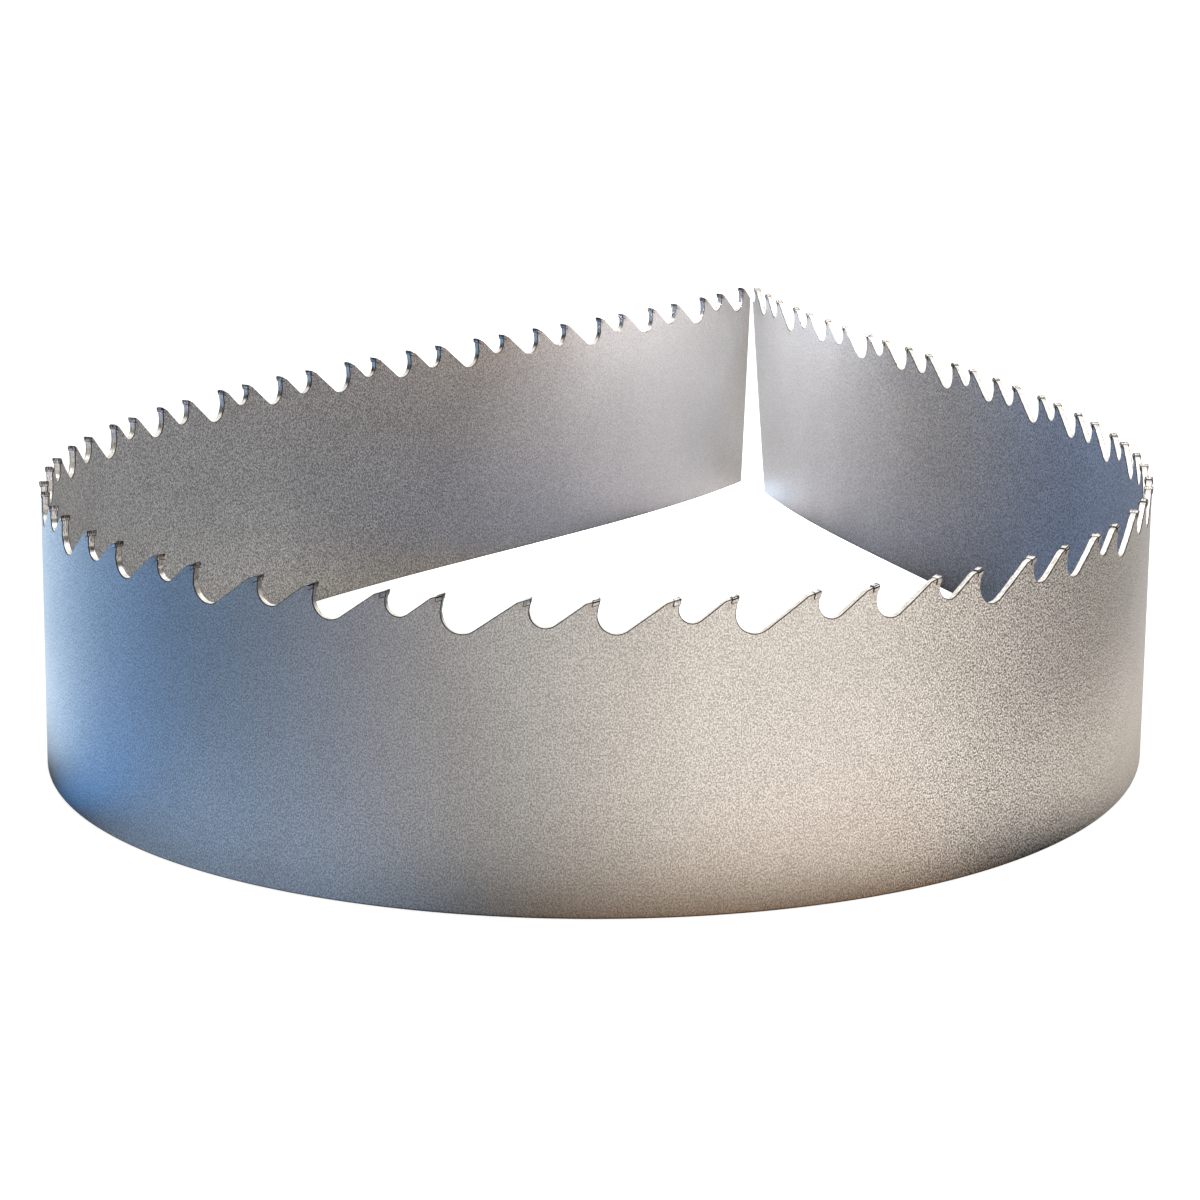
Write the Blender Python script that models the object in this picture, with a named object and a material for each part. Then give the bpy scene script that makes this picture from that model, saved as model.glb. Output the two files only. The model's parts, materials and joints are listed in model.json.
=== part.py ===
"""Strip of carbide-tipped band saw blade, standing on its back edge and bent into an open loop.

The blade is made flat first, as the real one is. Its toothed outline is cut from sheet, a carbide
tip is welded to the front of each tooth, and the strip is then bent round until its two cut ends
almost meet. In the flat blade X runs along the strip, Y through its thickness and Z from the back
edge up to the teeth. In the finished loop the nose faces -Y, the cut ends are at +Y, and the back
edge rests on Z = 0.
"""

import math

import bmesh
import bpy
from mathutils import Matrix, Vector

MM = 0.001

# Band
BAND_WIDTH = 67.0 * MM  # from the back edge to the high tooth tips
BAND_THICKNESS = 1.6 * MM

# Teeth: the four pitches repeat along the strip, so that the teeth don't ring in the cut
TOOTH_COUNT = 78
FIRST_PITCH = 16.17 * MM
SECOND_PITCH = 11.9 * MM
THIRD_PITCH = 17.79 * MM
FOURTH_PITCH = 13.67 * MM
TOOTH_PITCHES = (FIRST_PITCH, SECOND_PITCH, THIRD_PITCH, FOURTH_PITCH)
GULLET_DEPTH_PER_PITCH = 0.46
GULLET_RADIUS_PER_PITCH = 0.24
RAKE_ANGLE = math.radians(10.0)  # the tooth's face leans forward over its gullet
RELIEF_ANGLE = math.radians(18.0)
LAND_LENGTH = 2.8 * MM  # the ground land behind a tip, before the steeper back slope

# Carbide tips
TIP_LENGTH = 1.7 * MM
TIP_HEIGHT = 1.5 * MM
TIP_OVERHANG = 0.375 * MM  # how far a tip stands out from each side of the band
TIP_PROUD = 0.12 * MM  # how far a tip stands above and ahead of the steel that carries it
RADIAL_CLEARANCE = math.radians(5.0)  # the tip narrows downwards
TANGENTIAL_CLEARANCE = math.radians(4.0)  # and backwards
CHAMFER = 0.35 * MM  # on both corners of every second tip
FLAT_TIP_DROP = 0.15 * MM  # the tips between them are flat, and this much lower

# Cut ends
START_LAND = 7.0 * MM  # from the first cut end to the first tip
END_LAND = 5.0 * MM  # from the last tip to the second cut end, at the toothed edge
END_SLANT = 18.0 * MM  # the second cut end is this much further back at the back edge

# Loop
NOSE_RADIUS = 119.3 * MM
TOOTH_GAP = 0.5 * MM  # between the cut ends, at the toothed edge
START_LEAN = math.radians(1.9)  # the wall leans in at the first cut end
END_LEAN = math.radians(1.7)  # and at the second
LEAN_REACH = 170.0 * MM  # how far from each end the wall starts to lean

# Fineness of the curves
ARC_STEPS = 5  # on a gullet's quarter round
RUN_OUT_STEPS = 2  # on its run-out into the back slope
LOOP_STEPS = 150  # on each half of the loop
SOLVE_STEPS = 40
SNAP = 0.001 * MM


def clear_scene():
    """Remove every object that the file opened with."""
    for item in list(bpy.data.objects):
        bpy.data.objects.remove(item, do_unlink=True)


def make_material(name, color, roughness, metallic):
    """A plain metal finish."""
    material = bpy.data.materials.new(name)
    material.use_nodes = True
    shader = material.node_tree.nodes["Principled BSDF"]
    shader.inputs["Base Color"].default_value = (*color, 1.0)
    shader.inputs["Roughness"].default_value = roughness
    shader.inputs["Metallic"].default_value = metallic
    return material


def make_collection(name):
    """A collection of its own under the scene's."""
    collection = bpy.data.collections.new(name)
    bpy.context.scene.collection.children.link(collection)
    return collection


def pitch_after(index):
    """Distance from the tip with this index to the next one."""
    return TOOTH_PITCHES[index % len(TOOTH_PITCHES)]


def tip_positions():
    """X of every tip by its index, with one more tooth past each cut end."""
    positions = {-1: START_LAND - pitch_after(-1)}
    for index in range(TOOTH_COUNT + 1):
        positions[index] = positions[index - 1] + pitch_after(index - 1)
    return positions


def strip_length(positions):
    """Length of the flat strip between its cut ends."""
    return positions[TOOTH_COUNT - 1] + END_LAND


def steel_apex(tip_x):
    """Front upper corner of a tooth's steel, buried just inside its carbide tip."""
    return Vector((tip_x - TIP_PROUD, BAND_WIDTH - FLAT_TIP_DROP - TIP_PROUD))


def land_start(tip_x):
    """Where a tooth's back slope meets the ground land behind its tip."""
    return steel_apex(tip_x) - Vector((LAND_LENGTH, LAND_LENGTH * math.tan(RELIEF_ANGLE)))


def gullet(tip_x, pitch):
    """Outline of the gullet ahead of a tooth: its centre, its radius and its slope's angle."""
    radius = GULLET_RADIUS_PER_PITCH * pitch
    apex = steel_apex(tip_x)
    center_z = BAND_WIDTH - GULLET_DEPTH_PER_PITCH * pitch + radius
    face_x = apex.x - (apex.y - center_z) * math.tan(RAKE_ANGLE)
    center = Vector((face_x + radius / math.cos(RAKE_ANGLE), center_z))
    to_land = land_start(tip_x + pitch) - center
    slope = math.atan2(to_land.y, to_land.x) + math.asin(radius / to_land.length)
    return center, radius, slope


def arc(center, radius, first, last, steps):
    """Points on an arc, both ends included."""
    angles = [first + (last - first) * step / steps for step in range(steps + 1)]
    return [center + radius * Vector((math.cos(angle), math.sin(angle))) for angle in angles]


def tooth_outline(tip_x, pitch):
    """One tooth and the gullet ahead of it, from its land to the foot of the next back slope."""
    center, radius, slope = gullet(tip_x, pitch)
    floor = 1.5 * math.pi
    face = arc(center, radius, math.pi - RAKE_ANGLE, floor, ARC_STEPS)
    run_out = arc(center, radius, floor, floor + slope, RUN_OUT_STEPS)
    return [land_start(tip_x), steel_apex(tip_x)] + face + run_out[1:]


def bend_lines(positions):
    """X of the lines across the strip at which it takes its bend."""
    lines = []
    for index in range(-1, TOOTH_COUNT):
        center, radius, slope = gullet(positions[index], pitch_after(index))
        slope_foot = center.x + radius * math.sin(slope)
        next_land = land_start(positions[index + 1]).x
        lines += [center.x, (slope_foot + next_land) / 2, next_land]
    return lines


def sheet_outline(positions):
    """The flat strip's whole outline, one tooth too long at each end."""
    teeth = []
    for index in range(-1, TOOTH_COUNT):
        teeth += tooth_outline(positions[index], pitch_after(index))
    back = [Vector((teeth[-1].x, 0.0)), Vector((teeth[0].x, 0.0))]
    return teeth + back


def outline_sheet(name, outline):
    """A flat, filled sheet with this outline, standing in the XZ plane."""
    curve = bpy.data.curves.new(name, "CURVE")
    curve.dimensions = "2D"
    curve.fill_mode = "BOTH"
    spline = curve.splines.new("POLY")
    spline.points.add(len(outline) - 1)
    for point, place in zip(spline.points, outline):
        point.co = (place.x, place.y, 0.0, 1.0)
    spline.use_cyclic_u = True
    guide = bpy.data.objects.new(name, curve)
    bpy.context.scene.collection.objects.link(guide)
    evaluated = guide.evaluated_get(bpy.context.evaluated_depsgraph_get())
    mesh = bpy.data.meshes.new_from_object(evaluated)
    bpy.data.objects.remove(guide, do_unlink=True)
    mesh.transform(Matrix.Rotation(math.radians(90.0), 4, "X"))
    return mesh


def cut_across(bm, x, slant=0.0, **clear):
    """Cut the sheet across, the cut's foot set back by the slant, and clear one side if asked."""
    geometry = bm.verts[:] + bm.edges[:] + bm.faces[:]
    foot = (x - slant, 0.0, 0.0)
    normal = (BAND_WIDTH, 0.0, -slant)
    bmesh.ops.bisect_plane(bm, geom=geometry, dist=SNAP, plane_co=foot, plane_no=normal, **clear)


def lean_at(x, length):
    """Inward slope of the wall at one place along the strip, growing towards both cut ends."""
    slope = 0.0
    for distance, lean in ((x, START_LEAN), (length - x, END_LEAN)):
        reach = min(max(1.0 - distance / LEAN_REACH, 0.0), 1.0)
        slope += math.tan(lean) * reach * reach * (3.0 - 2.0 * reach)
    return slope


def lean_ends(bm, length):
    """Lean the flat blade's end stretches towards the side that will be inside the loop."""
    for vert in bm.verts:
        vert.co.y += vert.co.z * lean_at(vert.co.x, length)


def make_band(positions, length, material):
    """The flat toothed strip, cut to length and to its thickness."""
    mesh = outline_sheet("toothed_band", sheet_outline(positions))
    bm = bmesh.new()
    bm.from_mesh(mesh)
    bmesh.ops.remove_doubles(bm, verts=bm.verts[:], dist=SNAP)
    bmesh.ops.dissolve_limit(bm, angle_limit=math.radians(1.0), verts=bm.verts[:], edges=bm.edges[:])
    cut_across(bm, 0.0, clear_inner=True)
    cut_across(bm, length, END_SLANT, clear_outer=True)
    for x in bend_lines(positions):
        if SNAP < x < length - SNAP:
            cut_across(bm, x)
    sides = bmesh.ops.extrude_face_region(bm, geom=bm.faces[:], use_keep_orig=True)
    moved = [item for item in sides["geom"] if isinstance(item, bmesh.types.BMVert)]
    bmesh.ops.translate(bm, verts=moved, vec=(0.0, BAND_THICKNESS, 0.0))
    bmesh.ops.translate(bm, verts=bm.verts[:], vec=(0.0, -BAND_THICKNESS / 2, 0.0))
    lean_ends(bm, length)
    bmesh.ops.recalc_face_normals(bm, faces=bm.faces[:])
    bm.to_mesh(mesh)
    bm.free()
    mesh.materials.append(material)
    mesh.shade_smooth()
    mesh.set_sharp_from_angle(angle=math.radians(25.0))
    return mesh


def add_tip(bm, tip_x, chamfered):
    """One carbide tip: a block that leans with the tooth's face and narrows down and back."""
    top = BAND_WIDTH if chamfered else BAND_WIDTH - FLAT_TIP_DROP
    block = bmesh.ops.create_cube(bm, size=1.0)
    for vert in block["verts"]:
        back = (0.5 - vert.co.x) * TIP_LENGTH
        down = (0.5 - vert.co.z) * TIP_HEIGHT
        half_width = BAND_THICKNESS / 2 + TIP_OVERHANG
        half_width -= down * math.tan(RADIAL_CLEARANCE) + back * math.tan(TANGENTIAL_CLEARANCE)
        vert.co.x = tip_x - back - down * math.tan(RAKE_ANGLE)
        vert.co.y = math.copysign(half_width, vert.co.y)
        vert.co.z = top - down - back * math.tan(RELIEF_ANGLE)
    if chamfered:
        upper = sorted(block["verts"], key=lambda vert: vert.co.z - vert.co.x * math.tan(RELIEF_ANGLE))[4:]
        corners = {edge for vert in upper for edge in vert.link_edges}
        edges = [
            edge
            for edge in corners
            if all(vert in upper for vert in edge.verts) and edge.verts[0].co.y * edge.verts[1].co.y > 0.0
        ]
        bmesh.ops.bevel(bm, geom=edges, offset=CHAMFER, segments=1, affect="EDGES")


def make_tips(positions, length, material):
    """All the carbide tips, in place on the flat strip."""
    bm = bmesh.new()
    for index in range(TOOTH_COUNT):
        add_tip(bm, positions[index], chamfered=index % 2 == 0)
    lean_ends(bm, length)
    mesh = bpy.data.meshes.new("carbide_tips")
    bm.to_mesh(mesh)
    bm.free()
    mesh.materials.append(material)
    return mesh


def half_loop(half_length, wave):
    """Centre line of one arm, from the middle of the nose to its cut end, and its end's angle.

    A springy strip that is held only at its ends takes the curve of a pendulum's swing: the rate
    at which its bend falls off follows the sine of the angle that it has turned through.
    """
    step = half_length / LOOP_STEPS
    bend = 1.0 / NOSE_RADIUS
    angle = 0.0
    places = [Vector((0.0, 0.0, 0.0))]
    for _ in range(LOOP_STEPS):
        bend -= wave * wave * math.sin(angle) * step / 2
        middle = angle + bend * step / 2
        places.append(places[-1] + step * Vector((math.cos(middle), math.sin(middle), 0.0)))
        angle += bend * step
        bend -= wave * wave * math.sin(angle) * step / 2
    return places, angle


def gap_between_ends(arm, end_angle):
    """Open gap between the cut ends' toothed corners, when both arms are like this one."""
    corner_height = BAND_WIDTH - GULLET_DEPTH_PER_PITCH * min(TOOTH_PITCHES)
    lean = (math.tan(START_LEAN) + math.tan(END_LEAN)) * corner_height
    return 2.0 * arm[-1].x - (BAND_THICKNESS + lean) * math.sin(end_angle)


def close_loop(half_length):
    """The arm whose cut end comes back to the loop's middle, but for half of the gap."""
    high = 1.0 / NOSE_RADIUS
    low = high
    while gap_between_ends(*half_loop(half_length, low)) > TOOTH_GAP:
        high = low
        low *= 0.98
    for _ in range(SOLVE_STEPS):
        middle = (low + high) / 2
        if gap_between_ends(*half_loop(half_length, middle)) > TOOTH_GAP:
            high = middle
        else:
            low = middle
    return half_loop(half_length, high)[0]


def make_path(name, arm):
    """The loop's centre line at the back edge, as a guide that the flat blade is bent along."""
    mirrored = [Vector((-place.x, place.y, 0.0)) for place in reversed(arm[1:])]
    route = mirrored + arm
    curve = bpy.data.curves.new(name, "CURVE")
    curve.dimensions = "3D"
    curve.twist_mode = "Z_UP"
    spline = curve.splines.new("POLY")
    spline.points.add(len(route) - 1)
    for point, place in zip(spline.points, route):
        point.co = (*place, 1.0)
    return bpy.data.objects.new(name, curve)


def as_guide(item):
    """Show an object as a guide only."""
    item.hide_render = True
    item.display_type = "WIRE"


def center_on_base(blade, path):
    """Put the middle of the finished loop's base on the origin."""
    evaluated = blade.evaluated_get(bpy.context.evaluated_depsgraph_get())
    corners = [evaluated.matrix_world @ Vector(corner) for corner in evaluated.bound_box]
    for axis in (0, 1):
        values = [corner[axis] for corner in corners]
        path.location[axis] = -(min(values) + max(values)) / 2


def build():
    """Make the flat blade, weld its tips on and bend it into its loop."""
    clear_scene()
    parts = make_collection("band_saw_blade")
    guides = make_collection("guides")
    steel = make_material("satin_spring_steel", (0.56, 0.55, 0.53), 0.35, 1.0)
    carbide = make_material("ground_carbide", (0.16, 0.16, 0.17), 0.3, 1.0)

    positions = tip_positions()
    length = strip_length(positions)
    path = make_path("loop_path", close_loop(length / 2))
    guides.objects.link(path)
    as_guide(path)
    tips = bpy.data.objects.new("carbide_tips", make_tips(positions, length, carbide))
    guides.objects.link(tips)
    as_guide(tips)
    blade = bpy.data.objects.new("toothed_band", make_band(positions, length, steel))
    parts.objects.link(blade)
    tips.parent = path
    blade.parent = path

    weld = blade.modifiers.new("weld_tips", "BOOLEAN")
    weld.operation = "UNION"
    weld.solver = "EXACT"
    weld.material_mode = "TRANSFER"
    weld.object = tips
    bend = blade.modifiers.new("bend_to_loop", "CURVE")
    bend.object = path
    bend.deform_axis = "POS_X"
    bpy.context.view_layer.update()
    center_on_base(blade, path)


build()
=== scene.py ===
"""Looks of a strip of carbide-tipped band saw blade, bent into an open loop.

The blade is modelled flat, as the real one is made. Four teeth are drawn as a sheet and given their
thickness, the group is repeated along the strip, and the ends are cut. Carbide tips are modelled once
for each form and set on the teeth. The flat pieces then follow the loop's centre line. In the flat
blade X runs along the strip, Y through its thickness and Z from the back edge up to the teeth.
"""

from __future__ import annotations

import json
import logging
import math
from collections.abc import Callable, Iterator, Sequence
from contextlib import contextmanager
from dataclasses import dataclass
from enum import Enum, IntEnum
from functools import cached_property

import bmesh
import bpy
from mathutils import Matrix, Vector

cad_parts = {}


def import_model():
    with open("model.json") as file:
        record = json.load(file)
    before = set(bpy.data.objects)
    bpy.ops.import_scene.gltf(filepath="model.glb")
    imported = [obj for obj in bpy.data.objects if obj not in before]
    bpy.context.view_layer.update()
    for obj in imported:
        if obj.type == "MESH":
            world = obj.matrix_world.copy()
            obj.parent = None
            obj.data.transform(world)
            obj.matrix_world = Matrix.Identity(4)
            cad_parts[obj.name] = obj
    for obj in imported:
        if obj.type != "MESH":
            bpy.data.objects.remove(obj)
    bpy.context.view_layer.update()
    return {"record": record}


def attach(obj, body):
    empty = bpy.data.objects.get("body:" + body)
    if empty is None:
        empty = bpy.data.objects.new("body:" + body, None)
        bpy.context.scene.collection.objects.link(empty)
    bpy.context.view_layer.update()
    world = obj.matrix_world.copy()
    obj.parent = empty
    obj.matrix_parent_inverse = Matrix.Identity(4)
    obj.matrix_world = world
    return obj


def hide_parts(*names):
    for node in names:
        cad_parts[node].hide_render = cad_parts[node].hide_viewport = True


LOG = logging.getLogger("band_saw_blade")

MM = 0.001
SNAP = 0.002 * MM
FLAT_PLACE = "flat_place"
Color = tuple[float, float, float]
Test = Callable[[Vector, Vector], bool]
Piece = bpy.types.Object
Material = bpy.types.Material
Socket = bpy.types.NodeSocket
WHITE: Color = (1.0, 1.0, 1.0)


class Element(Enum):
    """What a selection in edit mode is made of."""

    VERTEX = "VERT"
    EDGE = "EDGE"
    FACE = "FACE"


class TipForm(Enum):
    """The two tip forms, which take turns along the strip."""

    CHAMFERED = "chamfered"
    FLAT = "flat"


class BandFace(IntEnum):
    """The band's kinds of surface, in the order of its finishes."""

    SIDE = 0
    GROUND = 1
    BROKEN_EDGE = 2
    BACK_EDGE = 3
    CUT_END = 4


class TipFace(IntEnum):
    """A tip's kinds of surface, in the order of its finishes."""

    TOP = 0
    BROKEN_EDGE = 1
    FRONT = 2
    SIDE = 3


def select_only(*pieces: Piece) -> None:
    """Select these objects alone, with the first of them active.

    Args:
        pieces: The objects to select.
    """
    bpy.ops.object.select_all(action="DESELECT")
    for piece in pieces:
        piece.select_set(True)
    bpy.context.view_layer.objects.active = pieces[0]


@contextmanager
def editing(piece: Piece) -> Iterator[None]:
    """Edit mode on one object, with nothing selected in it at first.

    Args:
        piece: The object to edit.
    """
    select_only(piece)
    bpy.ops.object.mode_set(mode="EDIT")
    bpy.ops.mesh.select_all(action="DESELECT")
    yield
    bpy.ops.object.mode_set(mode="OBJECT")


def select_where(piece: Piece, element: Element, chosen: Test) -> None:
    """In edit mode, select what passes a test of its middle and its normal or direction.

    Args:
        piece: The object in edit mode.
        element: Whether vertices, edges or faces are selected.
        chosen: The test, given the middle, and the normal or for an edge its direction.
    """
    bpy.ops.mesh.select_mode(type=element.value)
    bpy.ops.mesh.select_all(action="DESELECT")
    bm = bmesh.from_edit_mesh(piece.data)
    if element is Element.VERTEX:
        for vert in bm.verts:
            vert.select_set(chosen(vert.co, vert.normal))
    elif element is Element.EDGE:
        for edge in bm.edges:
            first, last = (vert.co for vert in edge.verts)
            edge.select_set(chosen((first + last) / 2, (last - first).normalized()))
    else:
        for face in bm.faces:
            face.select_set(chosen(face.calc_center_median(), face.normal))
    bm.select_flush_mode()
    bmesh.update_edit_mesh(piece.data)


def give_finish(piece: Piece, slot: int, chosen: Test) -> None:
    """In edit mode, give the faces that pass a test one of the piece's finishes.

    Args:
        piece: The object in edit mode.
        slot: The place of the finish in the piece's list.
        chosen: The test, given a face's middle and its normal.
    """
    select_where(piece, Element.FACE, chosen)
    piece.active_material_index = slot
    bpy.ops.object.material_slot_assign()


def copy_of(piece: Piece) -> Piece:
    """Copy an object together with its mesh.

    Args:
        piece: The object to copy.

    Returns:
        The copy.
    """
    select_only(piece)
    bpy.ops.object.duplicate(linked=False)
    return bpy.context.active_object


def join_all(pieces: Sequence[Piece], name: str) -> Piece:
    """Make several objects one, under a new name.

    Args:
        pieces: The objects to join.
        name: The joined object's name.

    Returns:
        The joined object.
    """
    select_only(*pieces)
    bpy.ops.object.join()
    joined = bpy.context.active_object
    joined.name = name
    joined.data.name = name
    return joined


def settle(piece: Piece) -> None:
    """Put the object's place, turn and size into its mesh."""
    select_only(piece)
    bpy.ops.object.transform_apply(location=True, rotation=True, scale=True)


def apply_modifier(piece: Piece, kind: str, **settings: object) -> None:
    """Add a modifier with these settings and apply it at once.

    Args:
        piece: The object that takes the modifier.
        kind: The modifier's type.
        settings: Its properties by name.
    """
    select_only(piece)
    bpy.ops.object.modifier_add(type=kind)
    modifier = piece.modifiers[-1]
    for name, value in settings.items():
        setattr(modifier, name, value)
    bpy.ops.object.modifier_apply(modifier=modifier.name)


def smooth(piece: Piece, degrees: float) -> None:
    """Shade the object smooth, up to this angle between two faces."""
    select_only(piece)
    bpy.ops.object.shade_smooth_by_angle(angle=math.radians(degrees))


def in_sheet(place: Vector) -> tuple[float, float, float]:
    """A place of the flat sheet's drawing as a place in space."""
    return place.x, 0.0, place.y


class Outline:
    """An outline drawn in edit mode, point after point, and then filled as one face."""

    def __init__(self, name: str, start: Vector) -> None:
        """Set the pen down.

        Args:
            name: The name of the sheet that is drawn.
            start: Where the outline starts.
        """
        bpy.ops.object.select_all(action="DESELECT")
        bpy.ops.mesh.primitive_plane_add(size=MM, location=in_sheet(start))
        self.piece = bpy.context.active_object
        self.piece.name = name
        self.place = start
        settle(self.piece)
        bpy.ops.object.mode_set(mode="EDIT")
        bpy.ops.mesh.select_all(action="SELECT")
        bpy.ops.mesh.merge(type="CENTER")

    def line(self, place: Vector) -> None:
        """Draw a straight line.

        Args:
            place: Where it ends.
        """
        step = place - self.place
        bpy.ops.mesh.extrude_vertices_move(TRANSFORM_OT_translate={"value": in_sheet(step)})
        self.place = place

    def arc(self, center: Vector, degrees: float, steps: int) -> None:
        """Draw an arc round a centre, against the clock when the sheet is seen from the front.

        Args:
            center: The arc's centre.
            degrees: How far it goes round.
            steps: How many lines it is made of.
        """
        angle = math.radians(degrees)
        bpy.ops.mesh.spin(steps=steps, angle=angle, center=in_sheet(center), axis=(0.0, 1.0, 0.0))
        self.place = center + Matrix.Rotation(angle, 2) @ (self.place - center)

    def fill(self) -> Piece:
        """Close the outline and fill it.

        Returns:
            The filled sheet.
        """
        bpy.ops.mesh.select_all(action="SELECT")
        bpy.ops.mesh.edge_face_add()
        bpy.ops.object.mode_set(mode="OBJECT")
        return self.piece


@dataclass(frozen=True)
class ToothSpacing:
    """Where the teeth stand along the flat strip.

    Four pitches repeat along the strip, so that the teeth don't ring in the cut.
    """

    count: int = 78
    pitches: tuple[float, ...] = (16.17 * MM, 11.9 * MM, 17.79 * MM, 13.67 * MM)
    start_land: float = 7.0 * MM
    end_land: float = 5.0 * MM

    @property
    def period(self) -> float:
        """Length of one group of teeth."""
        return sum(self.pitches)

    @property
    def length(self) -> float:
        """Length of the strip between its cut ends."""
        return self.tip(self.count - 1) + self.end_land

    def tip(self, index: int) -> float:
        """Place of one tip along the strip."""
        groups, rest = divmod(index, len(self.pitches))
        return self.start_land + groups * self.period + sum(self.pitches[:rest])

    def pitch(self, index: int) -> float:
        """Distance from one tip to the next."""
        return self.pitches[index % len(self.pitches)]


@dataclass(frozen=True)
class ToothProfile:
    """Thickness of the strip, and outline of a tooth's steel and of the gullet ahead of it."""

    top: float = 67.0 * MM
    thickness: float = 1.6 * MM
    depth_per_pitch: float = 0.46
    radius_per_pitch: float = 0.24
    rake: float = math.radians(10.0)
    relief: float = math.radians(18.0)
    land: float = 2.8 * MM
    flat_drop: float = 0.15 * MM
    tip_proud: float = 0.12 * MM

    def apex(self, tip: float) -> Vector:
        """Front upper corner of the tooth's steel."""
        return Vector((tip - self.tip_proud, self.top - self.flat_drop - self.tip_proud))

    def land_start(self, tip: float) -> Vector:
        """Where the back slope meets the ground land behind the tip."""
        return self.apex(tip) - Vector((self.land, self.land * math.tan(self.relief)))

    def gullet(self, tip: float, pitch: float) -> tuple[Vector, float, float]:
        """Round of the gullet ahead of a tooth.

        Args:
            tip: The tooth's place along the strip.
            pitch: The distance to the next tip.

        Returns:
            The round's centre, its radius and the angle of the slope that leaves it.
        """
        radius = self.radius_per_pitch * pitch
        apex = self.apex(tip)
        height = self.top - self.depth_per_pitch * pitch + radius
        face = apex.x - (apex.y - height) * math.tan(self.rake)
        center = Vector((face + radius / math.cos(self.rake), height))
        to_land = self.land_start(tip + pitch) - center
        slope = math.atan2(to_land.y, to_land.x) + math.asin(radius / to_land.length)
        return center, radius, slope

    def slope_middle(self, tip: float, pitch: float) -> Vector:
        """Middle of the back slope ahead of a tooth.

        Args:
            tip: The tooth's place along the strip.
            pitch: The distance to the next tip.

        Returns:
            The slope's middle.
        """
        center, radius, slope = self.gullet(tip, pitch)
        foot = center + radius * Vector((math.sin(slope), -math.cos(slope)))
        return (foot + self.land_start(tip + pitch)) / 2


@dataclass(frozen=True)
class LoopGuide:
    """The loop's centre line at the back edge, which the flat pieces are bent along.

    A springy strip that is held only at its ends takes the curve of a pendulum's swing: the rate at
    which its bend falls off follows the sine of the angle that it has turned through.
    """

    length: float
    thickness: float
    nose: Vector
    nose_radius: float = 119.3 * MM
    gap: float = 0.5 * MM
    start_lean: float = math.radians(1.9)
    end_lean: float = math.radians(1.7)
    lean_reach: float = 170.0 * MM
    corner_height: float = 61.526 * MM
    steps: int = 400
    wave_step: float = 0.98
    halvings: int = 40

    def arm(self, wave: float) -> tuple[list[Vector], float]:
        """One arm from the middle of the nose to its cut end.

        Args:
            wave: How fast the bend falls off along the arm.

        Returns:
            The arm's points, and the angle that it has turned through at its end.
        """
        step = self.length / 2 / self.steps
        bend = 1.0 / self.nose_radius
        angle = 0.0
        places = [Vector((0.0, 0.0, 0.0))]
        for _ in range(self.steps):
            bend -= wave * wave * math.sin(angle) * step / 2
            middle = angle + bend * step / 2
            places.append(places[-1] + step * Vector((math.cos(middle), math.sin(middle), 0.0)))
            angle += bend * step
            bend -= wave * wave * math.sin(angle) * step / 2
        return places, angle

    def opening(self, wave: float) -> float:
        """Gap between the cut ends' toothed corners.

        Args:
            wave: How fast the bend falls off along the arms.

        Returns:
            The gap's width.
        """
        places, angle = self.arm(wave)
        lean = (math.tan(self.start_lean) + math.tan(self.end_lean)) * self.corner_height
        return 2.0 * places[-1].x - (self.thickness + lean) * math.sin(angle)

    def closed_arm(self) -> list[Vector]:
        """Find the arm whose end closes the loop but for the gap.

        Returns:
            The arm's points.
        """
        high = 1.0 / self.nose_radius
        low = high
        while self.opening(low) > self.gap:
            high = low
            low *= self.wave_step
        for _ in range(self.halvings):
            middle = (low + high) / 2
            if self.opening(middle) > self.gap:
                high = middle
            else:
                low = middle
        return self.arm(high)[0]

    def lean(self, place: float) -> float:
        """How far the wall leans in, most at the cut ends and not at all in the nose.

        Args:
            place: The place along the strip.

        Returns:
            The lean as an angle.
        """
        slope = 0.0
        for distance, lean in ((place, self.start_lean), (self.length - place, self.end_lean)):
            reach = min(max(1.0 - distance / self.lean_reach, 0.0), 1.0)
            slope += math.tan(lean) * reach * reach * (3.0 - 2.0 * reach)
        return math.atan(slope)

    def add(self) -> Piece:
        """Add the centre line as a curve that leans where the wall does.

        Returns:
            The curve's object.
        """
        arm = self.closed_arm()
        route = [Vector((-place.x, place.y, 0.0)) for place in reversed(arm[1:])] + arm
        curve = bpy.data.curves.new("loop_guide", "CURVE")
        curve.dimensions = "3D"
        curve.twist_mode = "Z_UP"
        spline = curve.splines.new("POLY")
        spline.points.add(len(route) - 1)
        for index, (point, place) in enumerate(zip(spline.points, route)):
            point.co = (*place, 1.0)
            point.tilt = -self.lean(index * self.length / (len(route) - 1))
        guide = bpy.data.objects.new("loop_guide", curve)
        bpy.context.scene.collection.objects.link(guide)
        return guide

    def bend(self, piece: Piece) -> None:
        """Bend a flat piece along the loop, and keep its flat places for its finish.

        Args:
            piece: A piece of the flat blade.
        """
        settle(piece)
        flat = piece.data.attributes.new(FLAT_PLACE, "FLOAT_VECTOR", "POINT")
        for vert, entry in zip(piece.data.vertices, flat.data):
            entry.vector = vert.co
        guide = self.add()
        apply_modifier(piece, "CURVE", object=guide, deform_axis="POS_X")
        bpy.data.objects.remove(guide, do_unlink=True)
        piece.location = self.nose
        settle(piece)


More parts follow.
